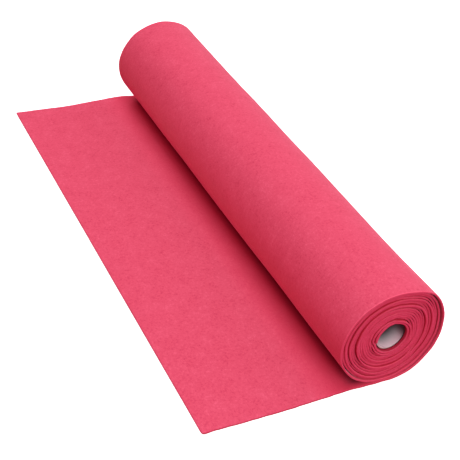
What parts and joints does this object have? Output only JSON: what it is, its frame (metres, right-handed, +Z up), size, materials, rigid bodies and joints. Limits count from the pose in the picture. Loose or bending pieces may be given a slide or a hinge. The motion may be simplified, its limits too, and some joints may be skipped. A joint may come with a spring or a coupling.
{
  "type": "roll of felt",
  "caption": "Long cut of felt wound on a cardboard core, lying on its side with the outer end unrolled flat on the table.",
  "frame": {"origin": "on the table, at the middle of the whole outline in plan", "axes": "+Y along the roll from the near end to the far end, +X from the loose end towards the roll, +Z up from the table"},
  "size_m": [0.1924, 0.4524, 0.0872],
  "materials": {
    "felt": "matte raspberry-pink felt",
    "cardboard": "matte pale grey cardboard, made of wood fibre"
  },
  "bodies": {
    "root": {"felt": "felt", "core": "cardboard"}
  },
  "joints": []
}
